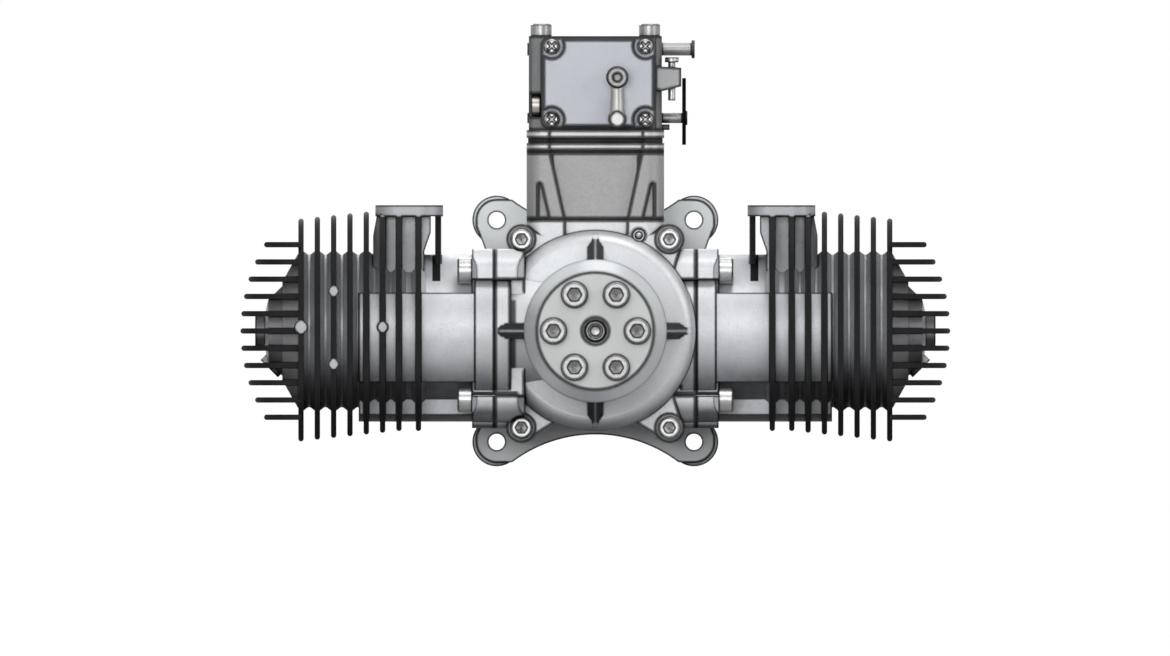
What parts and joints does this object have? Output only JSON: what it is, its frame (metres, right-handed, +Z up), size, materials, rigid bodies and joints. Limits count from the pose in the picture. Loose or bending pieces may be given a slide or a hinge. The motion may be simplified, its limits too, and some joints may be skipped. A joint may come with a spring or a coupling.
{
  "type": "flat-twin two-stroke aircraft engine",
  "caption": "Horizontally opposed two-stroke aircraft engine with finned cylinders, top carburetor, upward exhaust flanges, propeller hub and eared rear mount.",
  "frame": {"origin": "middle of the four mounting holes, on the mount feet's rear face (the firewall)", "axes": "+X to the right cylinder as seen from the propeller, +Y rearward into the firewall, +Z up to the carburetor"},
  "size_m": [0.288, 0.159, 0.1795],
  "materials": {
    "case_casting": "satin sand-blasted casting",
    "mount_plate": "satin machined",
    "cylinder_casting": "dark satin casting",
    "manifold_casting": "satin casting",
    "spacer_plate": "satin",
    "gasket": "matt fibre gasket",
    "carburetor_casting": "satin die casting",
    "carburetor_cover": "satin, faintly blue",
    "elbow": "polished",
    "brass": "turned",
    "fastener_steel": "satin steel",
    "bearing_steel": "ground",
    "crank_steel": "ground and turned",
    "seal_rubber": "matt",
    "hub_aluminium": "turned satin",
    "piston_aluminium": "turned",
    "piston_ring_iron": "ground",
    "reed_cage": "matt",
    "reed_petal": "fibre sheet",
    "reed_stop": "pressed sheet"
  },
  "bodies": {
    "engine": {"front_case": "case_casting", "rear_case": "case_casting", "mount_plate": "mount_plate", "left_cylinder": "cylinder_casting", "right_cylinder": "cylinder_casting", "intake_manifold": "manifold_casting", "lower_spacer": "spacer_plate", "upper_spacer": "spacer_plate", "base_gaskets": "gasket", "manifold_gaskets": "gasket", "heat_gasket": "gasket", "metering_gasket": "gasket", "carburetor_body": "carburetor_casting", "idle_bracket": "carburetor_casting", "metering_cover": "carburetor_cover", "pump_cover": "carburetor_cover", "cover_elbow": "elbow", "fuel_nipple": "brass", "case_screws": "fastener_steel", "mount_plate_screws": "fastener_steel", "cylinder_screws": "fastener_steel", "manifold_screws": "fastener_steel", "carburetor_bolts": "fastener_steel", "cover_screws": "fastener_steel", "pump_screw": "fastener_steel", "case_plug": "fastener_steel", "main_bearing": "bearing_steel", "nose_bearing": "bearing_steel", "rear_bearing": "bearing_steel", "front_seal": "seal_rubber", "reed_cage": "reed_cage", "reed_petals": "reed_petal", "reed_stops": "reed_stop"},
    "crank": {"crankshaft_front": "crank_steel", "centre_web": "crank_steel", "crankshaft_rear": "crank_steel", "prop_hub": "hub_aluminium", "hub_key": "crank_steel", "prop_washer": "hub_aluminium", "prop_bolts": "fastener_steel"},
    "left_piston_set": {"left_piston": "piston_aluminium", "left_piston_rings": "piston_ring_iron", "left_wrist_pin": "bearing_steel", "left_rod": "crank_steel", "left_crank_pin": "bearing_steel"},
    "right_piston_set": {"right_piston": "piston_aluminium", "right_piston_rings": "piston_ring_iron", "right_wrist_pin": "bearing_steel", "right_rod": "crank_steel", "right_crank_pin": "bearing_steel"},
    "throttle": {"throttle_shaft": "crank_steel", "throttle_plate": "brass", "throttle_arm": "crank_steel", "throttle_screw": "fastener_steel"},
    "choke": {"choke_shaft": "crank_steel", "choke_plate": "brass", "choke_screw": "fastener_steel"},
    "high_speed_needle": {"high_needle": "brass"},
    "low_speed_needle": {"low_needle": "brass"},
    "idle_stop": {"idle_screw": "fastener_steel"}
  },
  "joints": [
    {"name": "crank_spin", "type": "hinge", "parent": "engine", "child": "crank", "pos_m": [0, -0.1, 0], "axis": [0, 1, 0], "continuous": true},
    {"name": "left_piston_stroke", "type": "slide", "parent": "engine", "child": "left_piston_set", "axis": [1, 0, 0], "range_m": [0, 0.04]},
    {"name": "right_piston_stroke", "type": "slide", "parent": "engine", "child": "right_piston_set", "axis": [-1, 0, 0], "range_m": [0, 0.04]},
    {"name": "throttle_turn", "type": "hinge", "parent": "engine", "child": "throttle", "pos_m": [0, -0.066, 0.0864], "axis": [1, 0, 0], "range_deg": [0, 75]},
    {"name": "choke_turn", "type": "hinge", "parent": "engine", "child": "choke", "pos_m": [0, -0.066, 0.1143], "axis": [1, 0, 0], "range_deg": [0, 90]},
    {"name": "high_needle_turn", "type": "hinge", "parent": "engine", "child": "high_speed_needle", "pos_m": [-0.024, -0.0799, 0.0915], "axis": [1, 0, 0], "range_deg": [-540, 540]},
    {"name": "low_needle_turn", "type": "hinge", "parent": "engine", "child": "low_speed_needle", "pos_m": [-0.024, -0.0521, 0.0915], "axis": [1, 0, 0], "range_deg": [-540, 540]},
    {"name": "idle_screw_turn", "type": "hinge", "parent": "engine", "child": "idle_stop", "pos_m": [0.031, -0.078, 0.1], "axis": [0, 0, 1], "range_deg": [-720, 720]}
  ],
  "couplings": [
    {"joint": "right_piston_stroke", "follows": "left_piston_stroke", "ratio": 1}
  ]
}
